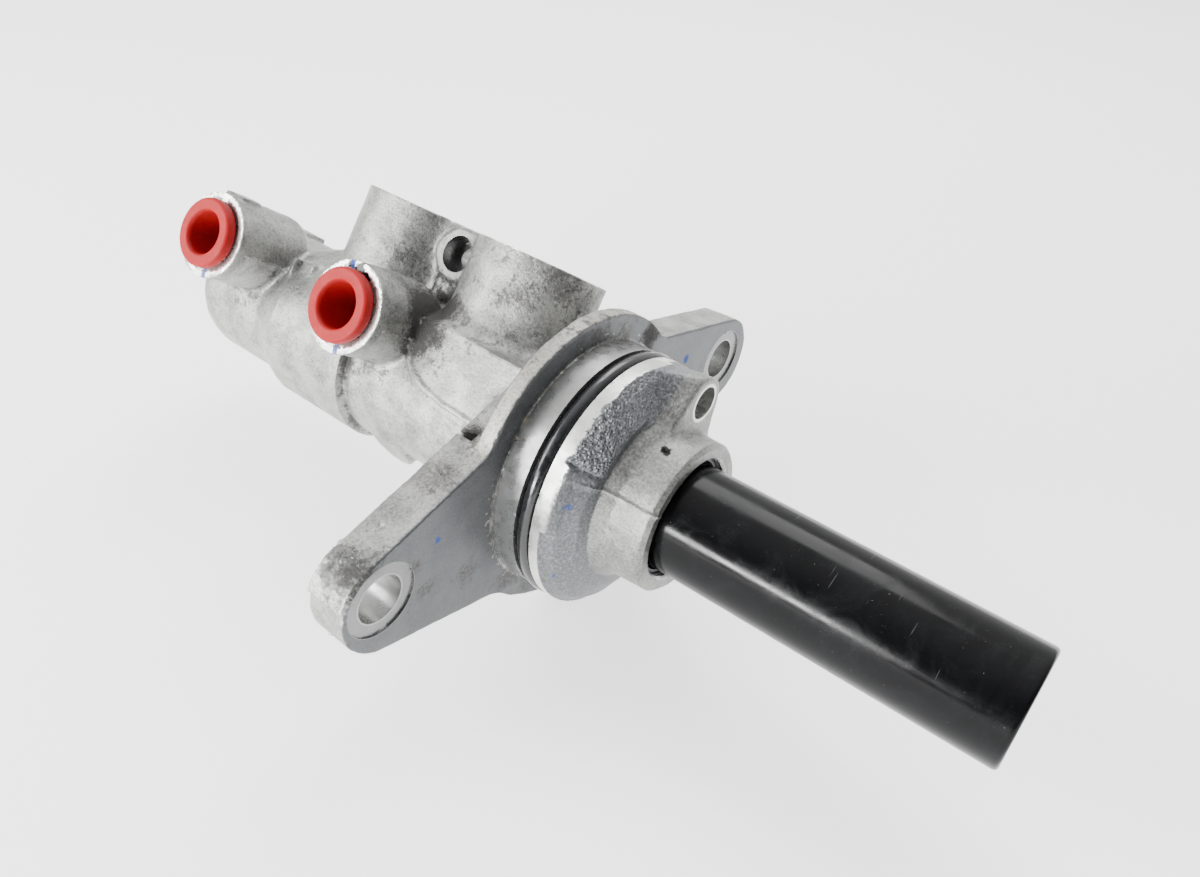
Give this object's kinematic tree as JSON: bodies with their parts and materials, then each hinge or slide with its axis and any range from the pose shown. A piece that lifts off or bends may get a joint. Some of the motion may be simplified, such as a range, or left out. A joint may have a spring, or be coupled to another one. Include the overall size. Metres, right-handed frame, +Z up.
{
  "type": "tandem brake master cylinder",
  "caption": "Tandem brake master cylinder with an eared mounting flange, a long push piston, two reservoir bosses and two plugged fluid outlets.",
  "frame": {"origin": "on the bore axis, in the flange's rear face, which seats against the brake booster", "axes": "+X along the bore axis, out of the push-rod end; Y along the line of the two stud holes; +Z up with the stud holes level. The casting's reservoir side is clocked 34 degrees about X, so its reservoir bosses lean towards +Y and its outlets point towards -Y and up"},
  "size_m": [0.1861, 0.1151, 0.0618],
  "materials": {
    "cast_aluminium": "as-cast and partly machined aluminium, grey, fine grained, lightly soiled",
    "black_anodised_aluminium": "glossy black hard-anodised, ground round",
    "spring_steel": "oiled patented spring wire",
    "zinc_plated_steel": "zinc plated, satin",
    "black_spring_steel": "black phosphated spring steel",
    "black_rubber": "smooth black rubber, wet with grease",
    "black_guide_plastic": "moulded, satin black",
    "white_plastic": "turned, satin off-white",
    "red_plug_plastic": "soft glossy coral red moulding"
  },
  "bodies": {
    "casting": {"body_casting": "cast_aluminium", "spigot_o_ring": "black_rubber", "guide_bush": "black_guide_plastic", "dust_lip_seal": "black_rubber", "snap_ring": "black_spring_steel", "primary_pressure_cup": "black_rubber", "primary_backup_ring": "white_plastic", "primary_supply_cup": "black_rubber", "secondary_pressure_cup": "black_rubber", "secondary_backup_ring": "white_plastic", "secondary_separating_cup": "black_rubber", "secondary_spring_seat": "zinc_plated_steel", "secondary_return_spring": "spring_steel"},
    "primary_piston": {"primary_piston": "black_anodised_aluminium", "spring_retaining_screw": "zinc_plated_steel", "spring_seat_washer": "zinc_plated_steel"},
    "secondary_piston": {"secondary_piston": "black_anodised_aluminium", "spring_retainer_cup": "zinc_plated_steel", "primary_return_spring": "spring_steel"},
    "front_plug": {"front_outlet_plug": "red_plug_plastic"},
    "rear_plug": {"rear_outlet_plug": "red_plug_plastic"}
  },
  "joints": [
    {"name": "primary_slide", "type": "slide", "parent": "casting", "child": "primary_piston", "axis": [-1, 0, 0], "range_m": [0, 0.028], "stiffness_N_per_m": 2000, "springref_m": -0.03, "deforming": ["primary_return_spring"]},
    {"name": "secondary_slide", "type": "slide", "parent": "casting", "child": "secondary_piston", "axis": [-1, 0, 0], "range_m": [0, 0.014], "deforming": ["secondary_return_spring"]},
    {"name": "front_plug_pull", "type": "slide", "parent": "casting", "child": "front_plug", "axis": [0, -0.8266, 0.5628], "range_m": [0, 0.012]},
    {"name": "rear_plug_pull", "type": "slide", "parent": "casting", "child": "rear_plug", "axis": [0, -0.8266, 0.5628], "range_m": [0, 0.012]}
  ],
  "couplings": [
    {"joint": "secondary_slide", "follows": "primary_slide", "ratio": 0.5}
  ]
}
